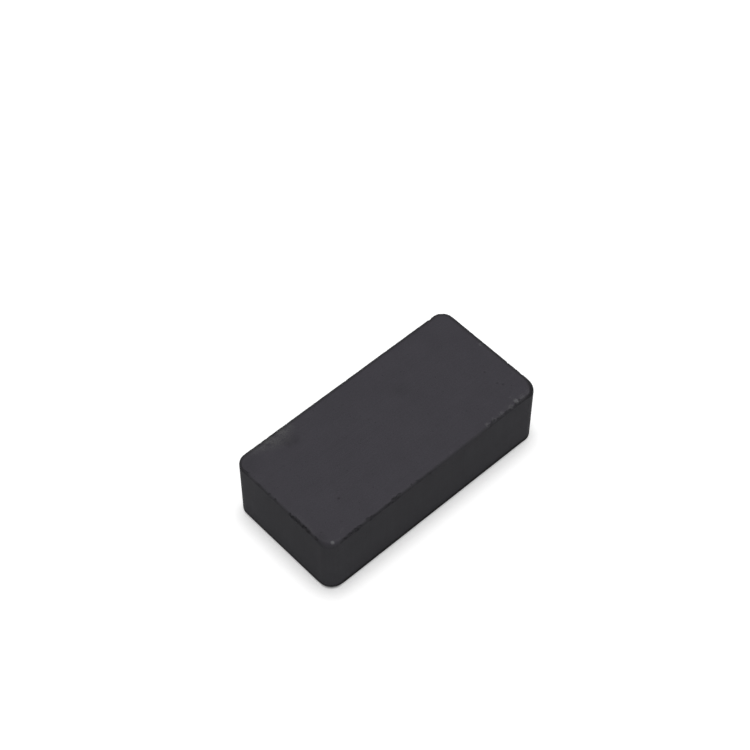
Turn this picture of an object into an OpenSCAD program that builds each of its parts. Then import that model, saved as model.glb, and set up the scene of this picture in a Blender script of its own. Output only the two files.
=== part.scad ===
// Ferrite block magnet: one die-pressed, sintered block with two ground pole faces, worn and chipped edges.
// Millimetres, +Z up, origin at the centre of the lower pole face, +X along the length.

/* [Block] */
// Length of the block, along X
block_length = 40; // [24:0.5:80]
// Width of the block, along Y
block_width = 19.7; // [12:0.1:60]
// Height from one ground pole face to the other, along Z
block_height = 11.1; // [5:0.1:30]
// Radius of the four upright corners, as the press die leaves them
corner_radius = 2; // [1.7:0.1:4]
// Radius of the worn edges round both pole faces
edge_radius = 0.4; // [0.1:0.05:0.8]

/* [Chips] */
// Radius of the hollow that a full-size chip leaves
chip_radius = 1.2; // [0.8:0.1:2]
// Depth of a full-size chip below the worn edge
chip_depth = 0.22; // [0.05:0.01:0.3]

/* [Hidden] */

$fn = 64;
ferrite_grey = "#3f3d42";

// Straight runs of wall between the upright corners
side_run = block_length - 2 * corner_radius;
end_run = block_width - 2 * corner_radius;

// Chips of each upper edge, as that wall is seen from outside: place along its straight run, from -1 at the left
// to 1 at the right, size against a full-size chip, and lean in degrees from the pole face towards the wall
front_chips = [
    [-0.95, 0.6, 60], [-0.9, 0.5, 55], [-0.83, 0.8, 60], [-0.68, 0.7, 55], [-0.51, 0.6, 60], [-0.44, 1, 50],
    [-0.08, 0.4, 55], [0.56, 0.5, 35], [0.66, 0.4, 35], [0.75, 0.5, 35], [0.82, 0.6, 30], [0.88, 0.8, 25],
];
left_chips = [
    [-0.33, 0.4, 45], [-0.15, 0.5, 45], [0.33, 0.9, 50], [0.46, 0.7, 50], [0.59, 0.9, 55], [0.73, 0.6, 50],
    [0.93, 0.5, 50],
];
back_chips = [[0.64, 0.5, 30], [0.72, 0.7, 30], [0.83, 0.5, 40]];
right_chips = [[-0.33, 0.6, 40], [-0.07, 0.5, 40], [0.19, 0.4, 40]];

// Upright section across the block, centred on the Z axis, with all four edges worn round
module worn_section(span) {
    inner = span / 2 - edge_radius;
    translate([-inner, 0]) square([2 * inner, block_height]);
    translate([-span / 2, edge_radius]) square([span, block_height - 2 * edge_radius]);
    for (x = [-inner, inner], z = [edge_radius, block_height - edge_radius])
        translate([x, z]) circle(edge_radius);
}

// Quarter post that turns the section round one upright corner
module worn_corner() {
    rotate_extrude(angle = 90)
        intersection() {
            worn_section(2 * corner_radius);
            square([corner_radius, block_height]);
        }
}

// The block as it was pressed, sintered, ground and worn, before it was chipped
module worn_block() {
    rotate([90, 0, 90]) linear_extrude(side_run, center = true) worn_section(block_width);
    rotate([90, 0, 0]) linear_extrude(end_run, center = true) worn_section(block_length);
    for (turn = [0, 180]) {
        rotate(turn) translate([side_run / 2, end_run / 2]) worn_corner();
        rotate(turn) translate([-side_run / 2, end_run / 2]) rotate(90) worn_corner();
    }
}

// Balls that scoop the chips out of the upper edge along X at y = -span / 2
module chip_balls(chips, run, span) {
    for (chip = chips) {
        place = chip[0] * run / 2;
        ball = chip_radius * chip[1];
        reach = edge_radius + ball - chip_depth * chip[1];
        translate([place, edge_radius - span / 2, block_height - edge_radius])
            rotate([chip[2], 0, 0]) translate([0, 0, reach]) sphere(ball);
    }
}

module ferrite_block() {
    color(ferrite_grey)
        difference() {
            worn_block();
            chip_balls(front_chips, side_run, block_width);
            rotate(-90) chip_balls(left_chips, end_run, block_length);
            rotate(180) chip_balls(back_chips, side_run, block_width);
            rotate(90) chip_balls(right_chips, end_run, block_length);
        }
}

ferrite_block();
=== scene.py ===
# Looks of a ferrite block magnet: one sintered block with two ground pole faces, worn edges and chips.
import math

import bmesh
import bpy
import numpy as np
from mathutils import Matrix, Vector


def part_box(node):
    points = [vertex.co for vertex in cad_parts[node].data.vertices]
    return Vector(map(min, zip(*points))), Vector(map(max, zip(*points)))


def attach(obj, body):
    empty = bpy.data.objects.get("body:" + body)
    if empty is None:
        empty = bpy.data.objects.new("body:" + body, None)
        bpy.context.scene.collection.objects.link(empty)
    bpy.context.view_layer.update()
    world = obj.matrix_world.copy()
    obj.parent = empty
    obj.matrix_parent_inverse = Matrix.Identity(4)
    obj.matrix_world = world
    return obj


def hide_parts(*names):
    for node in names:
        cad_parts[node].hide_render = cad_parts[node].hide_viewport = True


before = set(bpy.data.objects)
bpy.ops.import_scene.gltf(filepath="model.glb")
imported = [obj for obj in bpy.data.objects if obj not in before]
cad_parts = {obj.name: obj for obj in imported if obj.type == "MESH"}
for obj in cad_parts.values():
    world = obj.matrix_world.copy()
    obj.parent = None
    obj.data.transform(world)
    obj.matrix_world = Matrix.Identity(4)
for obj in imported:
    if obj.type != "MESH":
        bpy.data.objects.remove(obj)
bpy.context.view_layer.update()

NODE = "ferrite_block"
MM = 0.001

# Sizes of the block in millimetres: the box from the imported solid, the radii as its source gives them
BOX_LOW, BOX_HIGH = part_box(NODE)
LENGTH, WIDTH, HEIGHT = (BOX_HIGH - BOX_LOW) / MM
CORNER_RADIUS = 2.0
EDGE_RADIUS = 0.4
SIDE_RUN = LENGTH - 2 * CORNER_RADIUS
END_RUN = WIDTH - 2 * CORNER_RADIUS

# Walls in the order that the path round them meets them, anticlockwise from above
FRONT, RIGHT, BACK, LEFT = range(4)

# Steps of the path round the walls: along a side, along an end and round a corner
SIDE_STEPS = 340
END_STEPS = 150
CORNER_STEPS = 30

# Rim of a pole face: outside it the rings follow the outline, inside it they close on the middle line
FACE_RIM = 1.2

# Rows of the lower pole face: shares by which they have closed on the middle line, then shares of the rim
LOWER_CLOSING = (1.0, 0.75, 0.5, 0.25)
LOWER_RIM_ROWS = (1.0, 0.55, 0.25, 0.08)

# Rows of the wall: round the lower edge, up from it, down from the upper edge, and round that edge
LOWER_TURNS = 10
WALL_RISE = (0.08, 0.2, 0.4, 0.8, 1.6, 3.0)
WALL_DROP = (6.0, 4.5, 3.0, 2.0, 1.3, 0.9, 0.75, 0.62, 0.5, 0.4, 0.3, 0.2, 0.12, 0.05)
UPPER_TURNS = 14

# Rows of the upper pole face: shares of the rim, then insets up to the middle line, closest at the pits
UPPER_RIM_ROWS = (0.05, 0.12, 0.2, 0.3, 0.4, 0.5, 0.6, 0.72, 0.86, 1.0)
UPPER_INSETS = np.concatenate([
    np.arange(1.6, 3.1, 0.4),
    np.arange(3.1, 4.3, 0.12),
    np.arange(4.5, 5.0, 0.3),
    np.arange(5.02, 5.7, 0.12),
    np.linspace(6.2, WIDTH / 2, 6),
])

# Full-size chip, and how far along the edge from its middle a chip can take anything, against its radius
CHIP_RADIUS = 1.2
CHIP_DEPTH = 0.22
CHIP_SPAN = 2

# Chips of each upper edge: place along the wall's straight run, from -1 at its left to 1 at its right as
# seen from outside, size against a full-size chip, and lean in degrees from the pole face to the wall
CHIPS = {
    FRONT: (
        (-0.95, 0.6, 60), (-0.9, 0.5, 55), (-0.83, 0.8, 60), (-0.68, 0.7, 55), (-0.51, 0.6, 60),
        (-0.44, 1.0, 50), (-0.08, 0.4, 55), (0.56, 0.5, 35), (0.66, 0.4, 35), (0.75, 0.5, 35),
        (0.82, 0.6, 30), (0.88, 0.8, 25),
    ),
    RIGHT: ((-0.33, 0.6, 40), (-0.07, 0.5, 40), (0.19, 0.4, 40)),
    BACK: ((0.64, 0.5, 30), (0.72, 0.7, 30), (0.83, 0.5, 40)),
    LEFT: (
        (-0.33, 0.4, 45), (-0.15, 0.5, 45), (0.33, 0.9, 50), (0.46, 0.7, 50), (0.59, 0.9, 55),
        (0.73, 0.6, 50), (0.93, 0.5, 50),
    ),
}

# Small nicks strewn along the edges: how many are tried, the ranges of their sizes and of their leans in
# degrees, and the power that makes the smaller sizes commoner
UPPER_NICKS = 300
LOWER_NICKS = 150
NICK_SIZES = (0.2, 0.6)
NICK_LEANS = (22, 60)
NICK_POWER = 3

# Crumbled edges: how crumbled the upper edge is along each wall and how dark its colour is made, partly wear
# and partly painted shade, as (place, share) knots, and how crumbled the lower edge is all round
CRUMBLED_AND_SHADED = {
    FRONT: (
        (-1.0, 0.1), (-0.98, 0.6), (-0.8, 0.8), (-0.76, 0.4), (-0.72, 0.4), (-0.7, 0.75), (-0.5, 0.6),
        (-0.46, 0.9), (-0.4, 0.9), (-0.37, 0.3), (-0.24, 0.35), (-0.2, 0.6), (-0.14, 0.3), (0.1, 0.05),
        (0.53, 0.0), (0.58, 0.5), (0.66, 0.4), (0.7, 0.8), (0.74, 0.5), (0.9, 0.6), (1.0, 1.0),
    ),
    RIGHT: ((-1.0, 1.0), (-0.7, 0.8), (1.0, 0.8)),
    BACK: ((-1.0, 0.8), (0.5, 0.7), (0.7, 0.8), (1.0, 0.8)),
    LEFT: (
        (-1.0, 0.7), (-0.88, 0.5), (-0.8, 0.3), (-0.68, 0.3), (-0.62, 0.5), (-0.5, 0.4), (-0.34, 0.2),
        (-0.2, 0.1), (-0.12, 0.35), (-0.03, 0.03), (0.26, 0.05), (0.36, 0.8), (0.46, 0.75), (0.6, 0.55),
        (0.68, 0.8), (0.78, 0.2), (0.9, 0.3), (0.93, 0.45), (1.0, 0.1),
    ),
}
LOWER_CRUMBLED = 0.5

# Crumbling of an edge: the lean of the strip that is shaved off, its greatest depth, the share of that
# depth shaved on average, its unevenness as (share, wavelength) ripples, and how far it counts as broken
CRUMBLE_LEAN = math.radians(45)
CRUMBLE_DEPTH = 0.06
SHAVED_MEAN = 0.4
SHAVED_RIPPLES = ((0.3, 1.7), (0.2, 0.6))
SHAVED_COUNT = 0.5

# Broken ferrite: the ragged outline of a chip as (share of its radius, wavelength) ripples, the loss past
# which a place is fully broken, and the relief and wavelength of its grain
RAGGED_RIPPLES = ((0.22, 0.8), (0.12, 0.35))
FULLY_BROKEN = 0.06
FRACTURE_RELIEF = 0.02
FRACTURE_GRAIN = 0.4

# Ripples: how many waves each has, and the range of how close its waves lie against its wavelength
RIPPLE_WAVES = 24
RIPPLE_CLOSENESS = (0.6, 1.6)

# Seeds of the noises and of the nicks
SHAVED_SEED = 3
RAGGED_SEEDS = (5, 7)
LOWER_NICK_SEED = 9
UPPER_NICK_SEED = 10
FRACTURE_SEED = 11

# Worn corners: how far the wear reaches along an edge from a corner's middle, and the gain of each edge's
# radius at the left and the right front corner, the lower right one being still crisp
WORN_REACH = 2.6
UPPER_GAINS = (1.4, 1.0)
LOWER_GAINS = (1.2, -0.7)

# Pits of the upper pole face: x, y, radius and depth
PITS = (
    (-13.4, -4.5, 0.32, 0.07), (16.6, -5.9, 0.3, 0.06), (16.1, -5.2, 0.24, 0.05), (16.2, -2.6, 0.24, 0.04),
)

# Dark of the upper edge, partly wear and partly painted shade where the rounding faces away from the lamp:
# how far in over the pole face it reaches beside each wall, as (place, reach) knots, how far down the wall,
# and how much darker the right front corner is painted as shade
EDGE_DARK_IN = {
    FRONT: ((-1.0, 0.27), (1.0, 0.3)),
    RIGHT: ((-1.0, 0.65), (-0.8, 0.8), (1.0, 0.8)),
    BACK: ((-1.0, 0.8), (1.0, 0.8)),
    LEFT: ((-0.95, 0.27), (0.28, 0.27), (0.36, 0.5), (0.7, 0.5), (0.78, 0.27), (1.0, 0.27)),
}
EDGE_DARK_DOWN = 0.5
CORNER_PAINTED_SHADE = 0.3

# Painted shade at each wall's foot, a contact shadow painted into the colour where the block meets the
# floor: its share as (place, share) knots, how far up the wall and in over the lower face it reaches, and
# how much of the broken look it leaves
FOOT_PAINTED_SHADE = {
    FRONT: ((-1.0, 1.55), (1.0, 1.55)),
    RIGHT: ((-0.8, 0.5), (1.0, 0.5)),
    BACK: ((-1.0, 0.5), (1.0, 0.5)),
    LEFT: ((-1.0, 0.75), (0.8, 0.75)),
}
FOOT_SHADE_UP = 1.25
FOOT_SHADE_IN = 0.625
FOOT_BROKEN = 0.1

# How scuffed the pole face is beside each wall, as (place, share) knots, and how far in a scuff reaches
SCUFFED = {
    FRONT: ((-1.0, 0.08), (-0.5, 0.05), (0.3, 0.05), (0.5, 0.1), (0.75, 0.15), (0.9, 0.25), (1.0, 0.2)),
    RIGHT: ((-1.0, 0.2), (-0.6, 0.2), (-0.3, 0.06), (0.15, 0.15), (0.5, 0.06)),
    BACK: (
        (-0.5, 0.06), (0.5, 0.08), (0.56, 0.5), (0.64, 0.85), (0.7, 1.0), (0.84, 0.9), (0.9, 0.6),
        (0.98, 0.3),
    ),
    LEFT: ((-1.0, 0.1), (-0.6, 0.06), (0.2, 0.06), (0.35, 0.2), (0.7, 0.2), (0.85, 0.06), (1.0, 0.08)),
}
SCUFF_NARROW = 0.8
SCUFF_WIDE = 3.6

# Painted light and shade along each wall: how much lighter or darker its colour is made, as (place, factor)
# knots
PAINTED_WALL_LIGHT = {
    FRONT: ((-1.0, 1.08), (-0.9, 1.02), (-0.3, 0.96), (0.1, 0.95), (0.5, 0.98), (1.0, 1.06)),
    RIGHT: ((-1.0, 1.06), (0.0, 0.96), (1.0, 1.0)),
    BACK: ((-1.0, 1.0), (0.0, 0.95), (1.0, 1.04)),
    LEFT: ((-1.0, 1.12), (-0.7, 1.08), (-0.3, 0.95), (0.3, 0.92), (0.9, 0.88), (1.2, 1.14)),
}

# Pale flecks beside the upper edge: x, y, radius and strength
FLECKS = (
    (-18.75, -9.2, 0.38, 0.98), (-16.65, -8.6, 0.5, 0.12), (-7.7, -9.4, 0.4, 0.12), (3.05, -9.35, 0.4, 0.1),
    (10.05, -9.45, 0.5, 0.35), (11.3, -9.4, 0.5, 0.22), (12.8, -9.45, 0.55, 0.3), (14.65, -9.5, 0.55, 0.38),
    (15.9, -9.25, 0.52, 0.6), (15.85, -8.3, 0.45, 0.15), (17.0, -9.3, 0.65, 0.2), (18.2, -9.2, 0.5, 0.15),
    (19.3, 1.35, 0.4, 0.35),
)

# Dark stains of the upper pole face: x, y, radius and strength
STAINS = (
    (-12.3, 7.2, 1.0, 0.8), (-11.4, 6.9, 1.1, 0.8), (5.6, 3.2, 1.6, 0.3), (-18.8, 8.4, 2.6, 0.5),
    (-19.5, -7.6, 1.2, 0.6),
)

# Distance within which points of the mesh are merged
WELD = 0.0005


def smooth(share):
    """Eases a share from 0 to 1 with level ends: three times its square less twice its cube."""
    share = np.clip(share, 0, 1)
    return share * share * (3 - 2 * share)


def faded(gap):
    """1 up to half of a reach, easing to 0 at the whole of it; the gap is a share of the reach."""
    return smooth(2 - 2 * gap)


def ripple(points, wavelength, seed):
    """Smooth noise of unit spread: a sum of sine waves with seeded directions, lengths and phases."""
    draw = np.random.default_rng(seed)
    heading = draw.normal(size=(RIPPLE_WAVES, points.shape[-1]))
    heading /= np.linalg.norm(heading, axis=1, keepdims=True)
    heading *= 2 * np.pi / wavelength * draw.uniform(*RIPPLE_CLOSENESS, (RIPPLE_WAVES, 1))
    phase = draw.uniform(0, 2 * np.pi, RIPPLE_WAVES)
    return np.sin(points @ heading.T + phase).sum(-1) * math.sqrt(2 / RIPPLE_WAVES)


def rumple(points, waves, seed):
    """Noise of several sizes: a sum of ripples, each with its height, its wavelength and the next seed."""
    return sum(height * ripple(points, length, seed + turn) for turn, (height, length) in enumerate(waves))


def wall_path():
    """The path round the walls: each wall's straight run, then a quarter circle to the next wall. Gives the
    points, their outward normals, their distance along the path, each wall's start and the length."""
    points, normals, distance, starts = [], [], [], []
    travelled = 0.0
    for wall in (FRONT, RIGHT, BACK, LEFT):
        along_side = wall in (FRONT, BACK)
        run = SIDE_RUN if along_side else END_RUN
        reach = (WIDTH if along_side else LENGTH) / 2
        turn = wall * math.pi / 2
        out = np.array([math.sin(turn), -math.cos(turn)])
        ahead = np.array([math.cos(turn), math.sin(turn)])
        place = np.linspace(0, run, SIDE_STEPS if along_side else END_STEPS, endpoint=False)[:, None]
        sweep = np.linspace(0, math.pi / 2, CORNER_STEPS, endpoint=False)[:, None]
        swung = out * np.cos(sweep) + ahead * np.sin(sweep)
        points += [out * reach + ahead * (place - run / 2)]
        points += [out * (reach - CORNER_RADIUS) + ahead * run / 2 + swung * CORNER_RADIUS]
        normals += [np.tile(out, (len(place), 1)), swung]
        distance += [travelled + place[:, 0], travelled + run + sweep[:, 0] * CORNER_RADIUS]
        starts += [travelled]
        travelled += run + CORNER_RADIUS * math.pi / 2
    return np.concatenate(points), np.concatenate(normals), np.concatenate(distance), starts, travelled


PATH, OUTWARD, DISTANCE, WALL_STARTS, PATH_LENGTH = wall_path()


def distance_of(wall, place):
    """Distance along the path of a place on a wall, from -1 at its straight run's left to 1 at its right."""
    return WALL_STARTS[wall] + (place + 1) / 2 * (SIDE_RUN if wall in (FRONT, BACK) else END_RUN)


def past(distance):
    """How far each point of the path lies past a given distance along it, the short way round."""
    return (DISTANCE - distance + PATH_LENGTH / 2) % PATH_LENGTH - PATH_LENGTH / 2


def along_path(knots):
    """Values round the path, straight between each wall's (place, value) knots."""
    pairs = [(distance_of(wall, place), value) for wall, row in knots.items() for place, value in row]
    where, value = np.array(sorted(pairs)).T
    return np.interp(DISTANCE, where, value, period=PATH_LENGTH)


def corner_near(wall):
    """1 at the middle of the corner after a wall, easing to 0 at the worn reach on either side."""
    return smooth(1 - np.abs(past(distance_of(wall, 1) + CORNER_RADIUS * math.pi / 4)) / WORN_REACH)


def worn_radius(left_gain, right_gain):
    """Radius of an edge round the path: the plain one, with a gain eased in at each front corner."""
    return EDGE_RADIUS * (1 + left_gain * corner_near(LEFT) + right_gain * corner_near(FRONT))


def section(lower_radius, upper_radius):
    """The section from the middle of the lower face outwards, up the wall and in over the upper face:
    straight rows, with a quarter circle of each radius between them. Gives each row's inset from the
    outline, its height and the share by which it has closed on the middle line."""
    rim, flat = np.full(len(PATH), FACE_RIM), np.zeros(len(PATH))
    lower_turn = np.radians(np.linspace(90, 0, LOWER_TURNS))
    upper_turn = np.radians(np.linspace(0, 90, UPPER_TURNS))
    upper_closing = (UPPER_INSETS - FACE_RIM) / (WIDTH / 2 - FACE_RIM)
    rows = [(rim, flat, share) for share in LOWER_CLOSING]
    rows += [(lower_radius + (rim - lower_radius) * share, flat, 0) for share in LOWER_RIM_ROWS]
    rows += [(lower_radius * (1 - np.cos(a)), lower_radius * (1 - np.sin(a)), 0) for a in lower_turn]
    rows += [(flat, lower_radius + rise, 0) for rise in WALL_RISE]
    rows += [(flat, HEIGHT - upper_radius - drop, 0) for drop in WALL_DROP]
    rows += [
        (upper_radius * (1 - np.cos(a)), HEIGHT - upper_radius * (1 - np.sin(a)), 0) for a in upper_turn
    ]
    rows += [(upper_radius + (rim - upper_radius) * share, flat + HEIGHT, 0) for share in UPPER_RIM_ROWS]
    rows += [(rim, flat + HEIGHT, share) for share in upper_closing]
    inset, height, closed = zip(*rows)
    return np.array(inset), np.array(height), np.array(closed, dtype=float)[:, None]


def carried(inset, height, closed):
    """The section carried round the path: each path point moved in by the inset, then by the closed share
    of the way to the nearest point of the middle line, at the section's height."""
    ring = PATH - OUTWARD * inset[..., None]
    line_end = (LENGTH - WIDTH) / 2
    middle = np.stack([np.clip(ring[..., 0], -line_end, line_end), np.zeros_like(inset)], -1)
    return np.concatenate([ring + (middle - ring) * closed[..., None], height[..., None]], -1)


def scuff_mask(depth_in, drop):
    """How scuffed the upper face is: the wall's share, fading down the edge and in over the face, where the
    reach grows with the share."""
    scuffed = along_path(SCUFFED)
    reach = SCUFF_NARROW + (SCUFF_WIDE - SCUFF_NARROW) * scuffed
    return scuffed * smooth(1 - depth_in / reach) * smooth(1 - drop / EDGE_RADIUS)


def edge_mask(inset, drop, radius):
    """How dark the upper edge is, partly wear and partly painted shade where the rounding faces away from
    the lamp: its crumbled share, fading over an ellipse that grows with its radius.
    """
    gap = np.hypot(inset / along_path(EDGE_DARK_IN), drop / EDGE_DARK_DOWN) * EDGE_RADIUS / radius
    return faded(gap) * along_path(CRUMBLED_AND_SHADED) * (1 + CORNER_PAINTED_SHADE * corner_near(FRONT))


def foot_painted_shade(inset, rise):
    """Painted shade at the foot of the walls, a contact shadow where the block meets the floor: the wall's
    share, fading over an ellipse round the lower edge.
    """
    return faded(np.hypot(inset / FOOT_SHADE_IN, rise / FOOT_SHADE_UP)) * along_path(FOOT_PAINTED_SHADE)


def shave(inset, drop, depth):
    """Shaves a worn edge square to the crumbling's lean: moves back along it every point that stands
    further out than the edge's radius less the depth. Gives what each point lost."""
    reach = (EDGE_RADIUS - inset) * math.sin(CRUMBLE_LEAN) + (EDGE_RADIUS - drop) * math.cos(CRUMBLE_LEAN)
    lost = np.maximum(reach - (EDGE_RADIUS - depth), 0)
    inset += lost * math.sin(CRUMBLE_LEAN)
    drop += lost * math.cos(CRUMBLE_LEAN)
    return lost


def scoop(inset, drop, ragged, strikes):
    """Scoops a hollow out of a worn edge at each strike: points inside a ball move along its lean to the
    ball's far side. The ball reaches below the edge by the chip's depth, and noise makes its outline
    ragged. Gives what each point lost."""
    lost = np.zeros_like(inset)
    for distance, size, lean in strikes:
        radius, sine, cosine = CHIP_RADIUS * size, math.sin(lean), math.cos(lean)
        gap = past(distance)
        near = np.abs(gap) < CHIP_SPAN * radius
        out, up = EDGE_RADIUS - inset[:, near], EDGE_RADIUS - drop[:, near]
        along = gap[near] + ragged[0][:, near] * radius
        across = out * cosine - up * sine + ragged[1][:, near] * radius
        rise = out * sine + up * cosine - (EDGE_RADIUS + radius - CHIP_DEPTH * size)
        sag = np.sqrt(np.maximum(radius ** 2 - across ** 2 - along ** 2, 0))
        cut = np.where(sag > 0, np.maximum(rise + sag, 0), 0)
        inset[:, near] += cut * sine
        drop[:, near] += cut * cosine
        lost[:, near] += cut
    return lost


def chips():
    """Strikes for the chips of all four upper edges: distance along the path, size and lean."""
    return [
        (distance_of(wall, place), size, math.radians(lean))
        for wall, row in CHIPS.items() for place, size, lean in row
    ]


def nicks(tries, share, seed):
    """Seeded strikes for small nicks: each try falls anywhere on the path and is kept with the share found
    there."""
    draw = np.random.default_rng(seed)
    distance = draw.uniform(0, PATH_LENGTH, tries)
    kept = draw.uniform(size=tries) < np.interp(distance, DISTANCE, share, period=PATH_LENGTH)
    small, large = NICK_SIZES
    size = small + (large - small) * draw.uniform(size=tries) ** NICK_POWER
    lean = np.radians(draw.uniform(*NICK_LEANS, tries))
    return list(zip(distance[kept], size[kept], lean[kept]))


def break_edge(inset, drop, ragged, share, strikes):
    """Breaks one edge all round: shaves it by noise along the path, to the share found there, then scoops
    the strikes out of it. The noise is read at the greatest drop, which sets the two edges apart. Gives
    what each point lost, with the shaving's own count."""
    rim = np.concatenate([PATH, np.full((len(PATH), 1), drop.max())], 1)
    uneven = smooth(SHAVED_MEAN + rumple(rim, SHAVED_RIPPLES, SHAVED_SEED))
    shaved = shave(inset, drop, CRUMBLE_DEPTH * share * uneven)
    return SHAVED_COUNT * shaved + scoop(inset, drop, ragged, strikes)


def spot(points, x, y, radius):
    """A spot of the upper face, from 1 at its middle to 0 at its radius: one less the squared distance."""
    away = np.linalg.norm(points - np.array([x, y, HEIGHT]), axis=-1) / radius
    return np.maximum(1 - away ** 2, 0)


def block_surface():
    """The worn block: the section carried round the path, its edges shaved by noise along the path, scooped
    by the chips and nicks and roughened by noise where they broke, and its upper face hollowed by the
    pits, each the square of a spot. Gives the grid of points and the masks that the finish reads."""
    upper_radius = worn_radius(*UPPER_GAINS)
    inset, height, closed = section(worn_radius(*LOWER_GAINS), upper_radius)
    plain = carried(inset, height, closed)
    lower_rows = int((height.mean(1) < HEIGHT / 2).sum())
    lower, upper = slice(0, lower_rows), slice(lower_rows, None)
    drop = height.copy()
    drop[upper] = HEIGHT - height[upper]

    masks = {
        "wall": 1 - smooth(inset / EDGE_RADIUS),
        # Painted light and shade of the walls, lightening and darkening their colour along their length
        "painted_wall_light": np.broadcast_to(along_path(PAINTED_WALL_LIGHT), inset.shape),
        "scuffed": scuff_mask(inset + closed * (WIDTH / 2 - FACE_RIM), drop),
        # Upper edge darkened, partly wear and partly painted shade; the lower rows get the painted contact
        # shadow below
        "worn": edge_mask(inset, drop, upper_radius),
    }
    masks["scuffed"][lower] = 0
    # Painted contact shadow at the walls' foot, darkening the colour of the lower rows
    masks["worn"][lower] = foot_painted_shade(inset[lower], drop[lower])

    crumbled = along_path(CRUMBLED_AND_SHADED)
    lower_crumbled = np.full(len(PATH), LOWER_CRUMBLED)
    ragged = np.array([rumple(plain, RAGGED_RIPPLES, seed) for seed in RAGGED_SEEDS])
    lost = np.zeros_like(inset)
    for rows, share, strikes in (
        (lower, lower_crumbled, nicks(LOWER_NICKS, lower_crumbled, LOWER_NICK_SEED)),
        (upper, crumbled, chips() + nicks(UPPER_NICKS, crumbled, UPPER_NICK_SEED)),
    ):
        lost[rows] = break_edge(inset[rows], drop[rows], ragged[:, rows], share, strikes)
    masks["broken"] = smooth(lost / FULLY_BROKEN)
    rough = FRACTURE_RELIEF * masks["broken"] * np.abs(ripple(plain, FRACTURE_GRAIN, FRACTURE_SEED))
    inset += rough * math.sin(CRUMBLE_LEAN)
    drop += rough * math.cos(CRUMBLE_LEAN)
    masks["broken"][lower] *= FOOT_BROKEN
    height[lower] = drop[lower]
    height[upper] = HEIGHT - drop[upper]

    points = carried(inset, height, closed)
    masks["pitted"] = np.zeros_like(inset)
    for x, y, radius, depth in PITS:
        pit = spot(points, x, y, radius) ** 2
        points[..., 2] -= depth * pit
        masks["pitted"] = np.maximum(masks["pitted"], pit)
    for mask, spots in (("fleck", FLECKS), ("stained", STAINS)):
        shares = [strength * spot(points, x, y, radius) for x, y, radius, strength in spots]
        masks[mask] = np.max(shares, axis=0)
    return points, masks


def closed_piece(name, points, masks):
    """A mesh of a grid whose columns run round and whose first and last rows fold shut on a line."""
    rows, columns = points.shape[:2]
    index = np.arange(rows * columns).reshape(rows, columns)
    onward = np.roll(index, -1, axis=1)
    quads = np.stack([index[:-1], onward[:-1], onward[1:], index[1:]], -1).reshape(-1, 4)
    mesh = bpy.data.meshes.new(name)
    mesh.from_pydata((points * MM).reshape(-1, 3), [], quads)
    for mask, values in masks.items():
        attribute = mesh.attributes.new(mask, "FLOAT", "POINT")
        attribute.data.foreach_set("value", values.astype(np.float32).ravel())
    shape = bmesh.new()
    shape.from_mesh(mesh)
    bmesh.ops.remove_doubles(shape, verts=shape.verts, dist=WELD * MM)
    shape.to_mesh(mesh)
    shape.free()
    mesh.shade_smooth()
    piece = bpy.data.objects.new(name, mesh)
    bpy.context.collection.objects.link(piece)
    return piece


def put(tree, kind, inputs=None, output=0, **settings):
    """Adds a node with its settings, sets or links its inputs, and gives one of its outputs."""
    node = tree.nodes.new(kind)
    for name, value in settings.items():
        setattr(node, name, value)
    for socket, value in (inputs or {}).items():
        if isinstance(value, bpy.types.NodeSocket):
            tree.links.new(value, node.inputs[socket])
        else:
            node.inputs[socket].default_value = value
    return node.outputs[output] if node.outputs else None


def maths(tree, operation, first, second=0.0):
    """A Math node of two values."""
    return put(tree, "ShaderNodeMath", {0: first, 1: second}, operation=operation)


def sloped(tree, value, slope, start):
    """A value times a slope, added to a start."""
    return put(tree, "ShaderNodeMath", {0: value, 1: slope, 2: start}, operation="MULTIPLY_ADD")


def vector_maths(tree, operation, first, second=(0, 0, 0)):
    """A Vector Math node of two vectors."""
    return put(tree, "ShaderNodeVectorMath", {0: first, 1: second}, operation=operation)


def scaled(tree, vector, factor):
    """A vector or a colour times a factor."""
    return put(tree, "ShaderNodeVectorMath", {0: vector, "Scale": factor}, operation="SCALE")


def noise(tree, where, closeness, detail):
    """Noise from 0 to 1, with so many features to the millimetre along each axis and octaves of detail."""
    moved = vector_maths(tree, "MULTIPLY", where, closeness)
    return put(tree, "ShaderNodeTexNoise", {"Vector": moved, "Scale": 1.0, "Detail": detail})


def eased(tree, value, low, high, to_low=0.0, to_high=1.0):
    """A value eased from one range to another, with level ends."""
    ends = {"From Min": low, "From Max": high, "To Min": to_low, "To Max": to_high}
    return put(tree, "ShaderNodeMapRange", {"Value": value, **ends}, interpolation_type="SMOOTHSTEP")


def value_between(tree, share, low, high):
    """A value between two, by a share."""
    return put(tree, "ShaderNodeMix", {0: share, 2: low, 3: high}, data_type="FLOAT")


def tone_between(tree, share, low, high):
    """A colour between two, by a share."""
    return put(tree, "ShaderNodeMix", {0: share, 6: low, 7: high}, output=2, data_type="RGBA")


def new_material(name):
    """A material with its node tree cleared."""
    material = bpy.data.materials.new(name)
    material.use_nodes = True
    material.node_tree.nodes.clear()
    return material, material.node_tree


# Tones of the ferrite, as linear red, green, blue and alpha
GROUND_TONE = (0.0357, 0.0335, 0.0402, 1)
PRESSED_TONE = (0.0398, 0.0391, 0.0434, 1)
BROKEN_TONE = (0.0280, 0.0275, 0.0305, 1)
SCUFFED_TONE = (0.0720, 0.0715, 0.0725, 1)
FLECK_TONE = (0.1200, 0.1200, 0.1250, 1)

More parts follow.
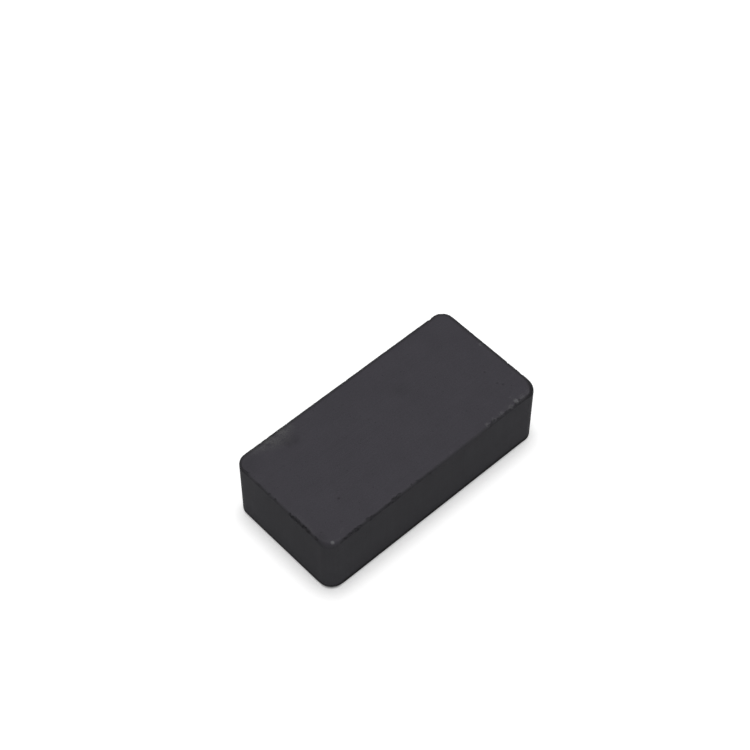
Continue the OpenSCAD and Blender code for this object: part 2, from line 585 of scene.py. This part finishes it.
# Noises of the finish: features to the millimetre along each axis, and octaves of detail
MOTTLE = ((0.3, 0.3, 0.3), 3)
PATCHES = ((0.9, 0.9, 0.9), 3)
CRUMBS = ((3.6, 3.6, 3.6), 3)
GRAIN = ((7.0, 7.0, 7.0), 3)
PORES = ((3.2, 3.2, 3.2), 1)
GRINDING = ((0.06, 6.0, 0.06), 2)
STREAKS = ((2.6, 2.6, 0.12), 2)

# Levels of a noise between which what it makes eases from none to all
PORE_LEVELS = (0.72, 0.80)
PATCH_LEVELS = (0.25, 0.60)
CRUMB_LEVELS = (0.25, 0.55)
BRUISE_LEVELS = (0.42, 0.64)

# How much a fleck raises the noise inside it, and the least share of the edge's dark between crumbs
FLECK_RAISE = 0.3
LEAST_CRUMB = 0.4

# Light of the tone, as (slope, start) of each thing that changes it, and the darkest that an edge gets
MOTTLE_LIGHT = (0.22, 0.89)
GRAIN_LIGHT = (0.50, 0.75)
MARK_LIGHT = (0.12, 0.94)
PORE_LIGHT = (-0.3, 1.0)
PIT_LIGHT = (-0.4, 1.0)
EDGE_LIGHT = (-0.58, 1.0)
STAIN_LIGHT = (-0.25, 1.0)
DARKEST_EDGE = 0.12

# Roughness of the ground faces, and what the pressed skin, a break and the grain add to it
GROUND_ROUGHNESS = 0.55
PRESSED_ROUGHER = 0.25
BROKEN_ROUGHER = 0.15
GRAIN_ROUGHER = 0.10

# Relief: the depth of the grain in millimetres, pores and marks against it, and the surface's gloss level
RELIEF_DEPTH = 0.015
PORE_RELIEF = -1.5
MARK_RELIEF = 0.6
GLOSS_LEVEL = 0.1


def sintered_ferrite():
    """Matte dark ceramic: ground smooth on the pole faces, as pressed on the walls, dull and dark where it
    broke and pale where it was bruised, with mottling, grain, pores, grinding marks and die streaks. Its
    colour
    also holds painted light and shade: lighter and darker stretches along the walls, a darkened upper edge
    that is partly wear and partly painted shade, and a painted contact shadow at the foot of the walls."""
    material, tree = new_material("sintered_ferrite")
    mask = {
        name: put(tree, "ShaderNodeAttribute", output="Fac", attribute_name=name)
        for name in ("wall", "painted_wall_light", "worn", "broken", "scuffed", "stained", "pitted", "fleck")
    }
    where = scaled(tree, put(tree, "ShaderNodeTexCoord", output="Object"), 1 / MM)
    mottle, patches, crumbs, grain, pores, grinding, streaks = (
        noise(tree, where, *kind) for kind in (MOTTLE, PATCHES, CRUMBS, GRAIN, PORES, GRINDING, STREAKS)
    )
    pores = eased(tree, pores, *PORE_LEVELS)
    marks = value_between(tree, mask["wall"], grinding, streaks)

    bruise = eased(tree, sloped(tree, mask["fleck"], FLECK_RAISE, crumbs), *BRUISE_LEVELS)
    bruise = maths(tree, "MULTIPLY", mask["fleck"], bruise)
    scuff = maths(tree, "MULTIPLY", eased(tree, patches, *PATCH_LEVELS), eased(tree, crumbs, *CRUMB_LEVELS))
    scuff = maths(tree, "MULTIPLY", mask["scuffed"], scuff)
    # Edge darkening: painted shade on the upper edge, partly wear, and a painted contact shadow at the foot
    edge = maths(tree, "MULTIPLY", mask["worn"], maths(tree, "SUBTRACT", 1.0, mask["broken"]))
    edge = maths(tree, "MULTIPLY", edge, eased(tree, crumbs, *CRUMB_LEVELS, to_low=LEAST_CRUMB))

    tone = tone_between(tree, mask["wall"], GROUND_TONE, PRESSED_TONE)
    tone = tone_between(tree, scuff, tone, SCUFFED_TONE)
    tone = tone_between(tree, mask["broken"], tone, BROKEN_TONE)
    tone = tone_between(tree, bruise, tone, FLECK_TONE)
    light = sloped(tree, mottle, *MOTTLE_LIGHT)
    for factor in (
        # Painted light and shade along the walls
        value_between(tree, mask["wall"], 1.0, mask["painted_wall_light"]),
        sloped(tree, grain, *GRAIN_LIGHT),
        sloped(tree, marks, *MARK_LIGHT),
        sloped(tree, pores, *PORE_LIGHT),
        sloped(tree, mask["pitted"], *PIT_LIGHT),
        # Darkens the colour as painted shade at the upper edge and the foot, partly wear on the upper edge
        maths(tree, "MAXIMUM", sloped(tree, edge, *EDGE_LIGHT), DARKEST_EDGE),
        sloped(tree, mask["stained"], *STAIN_LIGHT),
    ):
        light = maths(tree, "MULTIPLY", light, factor)

    roughness = sloped(tree, mask["wall"], PRESSED_ROUGHER, GROUND_ROUGHNESS)
    roughness = sloped(tree, mask["broken"], BROKEN_ROUGHER, roughness)
    roughness = sloped(tree, grain, GRAIN_ROUGHER, roughness)
    relief = sloped(tree, pores, PORE_RELIEF, grain)
    relief = sloped(tree, marks, MARK_RELIEF, relief)
    bump = put(tree, "ShaderNodeBump", {"Height": relief, "Distance": RELIEF_DEPTH * MM, "Strength": 1.0})
    finish = {
        "Base Color": scaled(tree, tone, light),
        "Roughness": roughness,
        "Specular IOR Level": GLOSS_LEVEL,
        "Normal": bump,
    }
    put(tree, "ShaderNodeOutputMaterial", {"Surface": put(tree, "ShaderNodeBsdfPrincipled", finish)})
    return material


# Floor, in metres: its span, how far it lies below the block, and its tone
FLOOR_SPAN = 3.0
FLOOR_DROP = 0.02 * MM
FLOOR_TONE = (0.8, 0.8, 0.8, 1)

# Glow of the floor for the camera: its strength beside the block and far from it, and how far each is
BESIDE_GLOW, FLOOR_BESIDE = 0.36, 0.12
FAR_GLOW, FLOOR_FAR = 0.8, 0.6

# Strengths of the even light on the lower face and of the surround's light, and the surround's colour
PANEL_LIGHT = 0.9
WORLD_FILL = 0.32
WHITE = (1, 1, 1, 1)

# Soft lamp overhead: its place and width in metres and its power in watts
SOFTBOX_PLACE = Vector((0.02, 0.03, 0.5))
SOFTBOX_WIDTH = 0.2
SOFTBOX_POWER = 1.8


def seen_direct(tree):
    """1 for rays that show the background itself, straight or in gloss or glass."""
    paths = put(tree, "ShaderNodeLightPath").node.outputs
    seen = maths(tree, "MAXIMUM", paths["Is Camera Ray"], paths["Is Glossy Ray"])
    return maths(tree, "MAXIMUM", seen, paths["Is Transmission Ray"])


def away_from_corners(tree):
    """Distance from the level rectangle between the middles of the four upright corners, 0 inside it."""
    place = vector_maths(tree, "ABSOLUTE", put(tree, "ShaderNodeTexCoord", output="Object"))
    beyond = vector_maths(tree, "SUBTRACT", place, (SIDE_RUN / 2 * MM, END_RUN / 2 * MM, FLOOR_DROP))
    beyond = vector_maths(tree, "MAXIMUM", beyond)
    return put(tree, "ShaderNodeVectorMath", {0: beyond}, output="Value", operation="LENGTH")


def pale_paint(tree):
    """Pale matte paint that glows for the camera: not at all where the block rests on it, a little beside
    the block, where it keeps the shadow, and up to white far away."""
    paint = put(tree, "ShaderNodeBsdfDiffuse", {"Color": FLOOR_TONE})
    away = away_from_corners(tree)
    glow = eased(tree, away, FLOOR_BESIDE, FLOOR_FAR, BESIDE_GLOW, FAR_GLOW)
    open_floor = eased(tree, away, (CORNER_RADIUS - EDGE_RADIUS) * MM, CORNER_RADIUS * MM)
    for share in (open_floor, seen_direct(tree)):
        glow = maths(tree, "MULTIPLY", glow, share)
    glow = put(tree, "ShaderNodeEmission", {"Strength": glow})
    return put(tree, "ShaderNodeAddShader", {0: paint, 1: glow})


def panel_light(tree):
    """Even light at the plain level, for the face that lies on it."""
    return put(tree, "ShaderNodeEmission", {"Strength": PANEL_LIGHT})


def level_sheet(name, outline, height, lit_side):
    """A level sheet of the stage with its outline and height, lit on its upper side, clear from below."""
    mesh = bpy.data.meshes.new(name)
    mesh.from_pydata(np.column_stack([outline, np.full(len(outline), height)]), [], [range(len(outline))])
    material, tree = new_material(name)
    underside = put(tree, "ShaderNodeNewGeometry", output="Backfacing")
    clear = put(tree, "ShaderNodeBsdfTransparent")
    surface = put(tree, "ShaderNodeMixShader", {0: underside, 1: lit_side(tree), 2: clear})
    put(tree, "ShaderNodeOutputMaterial", {"Surface": surface})
    mesh.materials.append(material)
    sheet = bpy.data.objects.new(name, mesh)
    bpy.context.collection.objects.link(sheet)
    return sheet


def studio_light():
    """A white surround that shows at full strength and lights at a lower one, and a soft lamp overhead."""
    world = bpy.data.worlds.new("studio")
    world.use_nodes = True
    tree = world.node_tree
    tree.nodes.clear()
    strength = sloped(tree, seen_direct(tree), 1 - WORLD_FILL, WORLD_FILL)
    surround = put(tree, "ShaderNodeBackground", {"Color": WHITE, "Strength": strength})
    put(tree, "ShaderNodeOutputWorld", {"Surface": surround})
    bpy.context.scene.world = world

    lamp = bpy.data.lights.new("overhead_softbox", "AREA")
    lamp.size = SOFTBOX_WIDTH
    lamp.energy = SOFTBOX_POWER
    softbox = bpy.data.objects.new("overhead_softbox", lamp)
    softbox.location = SOFTBOX_PLACE
    softbox.rotation_euler = (-SOFTBOX_PLACE).to_track_quat("-Z", "Y").to_euler()
    softbox.visible_camera = False
    bpy.context.collection.objects.link(softbox)


# Camera of the picture: its place and the floor point that it looks at, in millimetres
CAMERA_PLACE = Vector((-108.0892, -114.2700, 228.9530))
CAMERA_AIM = Vector((10.1368, 13.7718, 0.0))

# Lens of the camera: its length and sensor width in millimetres, and the nearest distance shown, in metres
CAMERA_LENS = 92.66
CAMERA_SENSOR = 36.0
CAMERA_NEAR = 0.01


def picture_camera():
    """The camera at the picture's angle, level with the horizon."""
    lens = bpy.data.cameras.new("picture_camera")
    lens.sensor_width = CAMERA_SENSOR
    lens.lens = CAMERA_LENS
    lens.clip_start = CAMERA_NEAR
    camera = bpy.data.objects.new("picture_camera", lens)
    camera.location = CAMERA_PLACE * MM
    camera.rotation_euler = (CAMERA_AIM - CAMERA_PLACE).to_track_quat("-Z", "Y").to_euler()
    bpy.context.collection.objects.link(camera)
    bpy.context.scene.camera = camera


points, masks = block_surface()
block = closed_piece("worn_ferrite_block", points, masks)
block.data.materials.append(sintered_ferrite())
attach(block, "root")
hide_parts(NODE)

floor_corners = FLOOR_SPAN / 2 * np.array([(-1, -1), (1, -1), (1, 1), (-1, 1)])
lower_flat = (PATH - OUTWARD * worn_radius(*LOWER_GAINS)[:, None]) * MM
level_sheet("studio_floor", floor_corners, -FLOOR_DROP, pale_paint)
lower_light = level_sheet("lower_face_light", lower_flat, -FLOOR_DROP / 2, panel_light)
lower_light.visible_camera = False
studio_light()
picture_camera()
bpy.context.scene.view_settings.view_transform = "Standard"
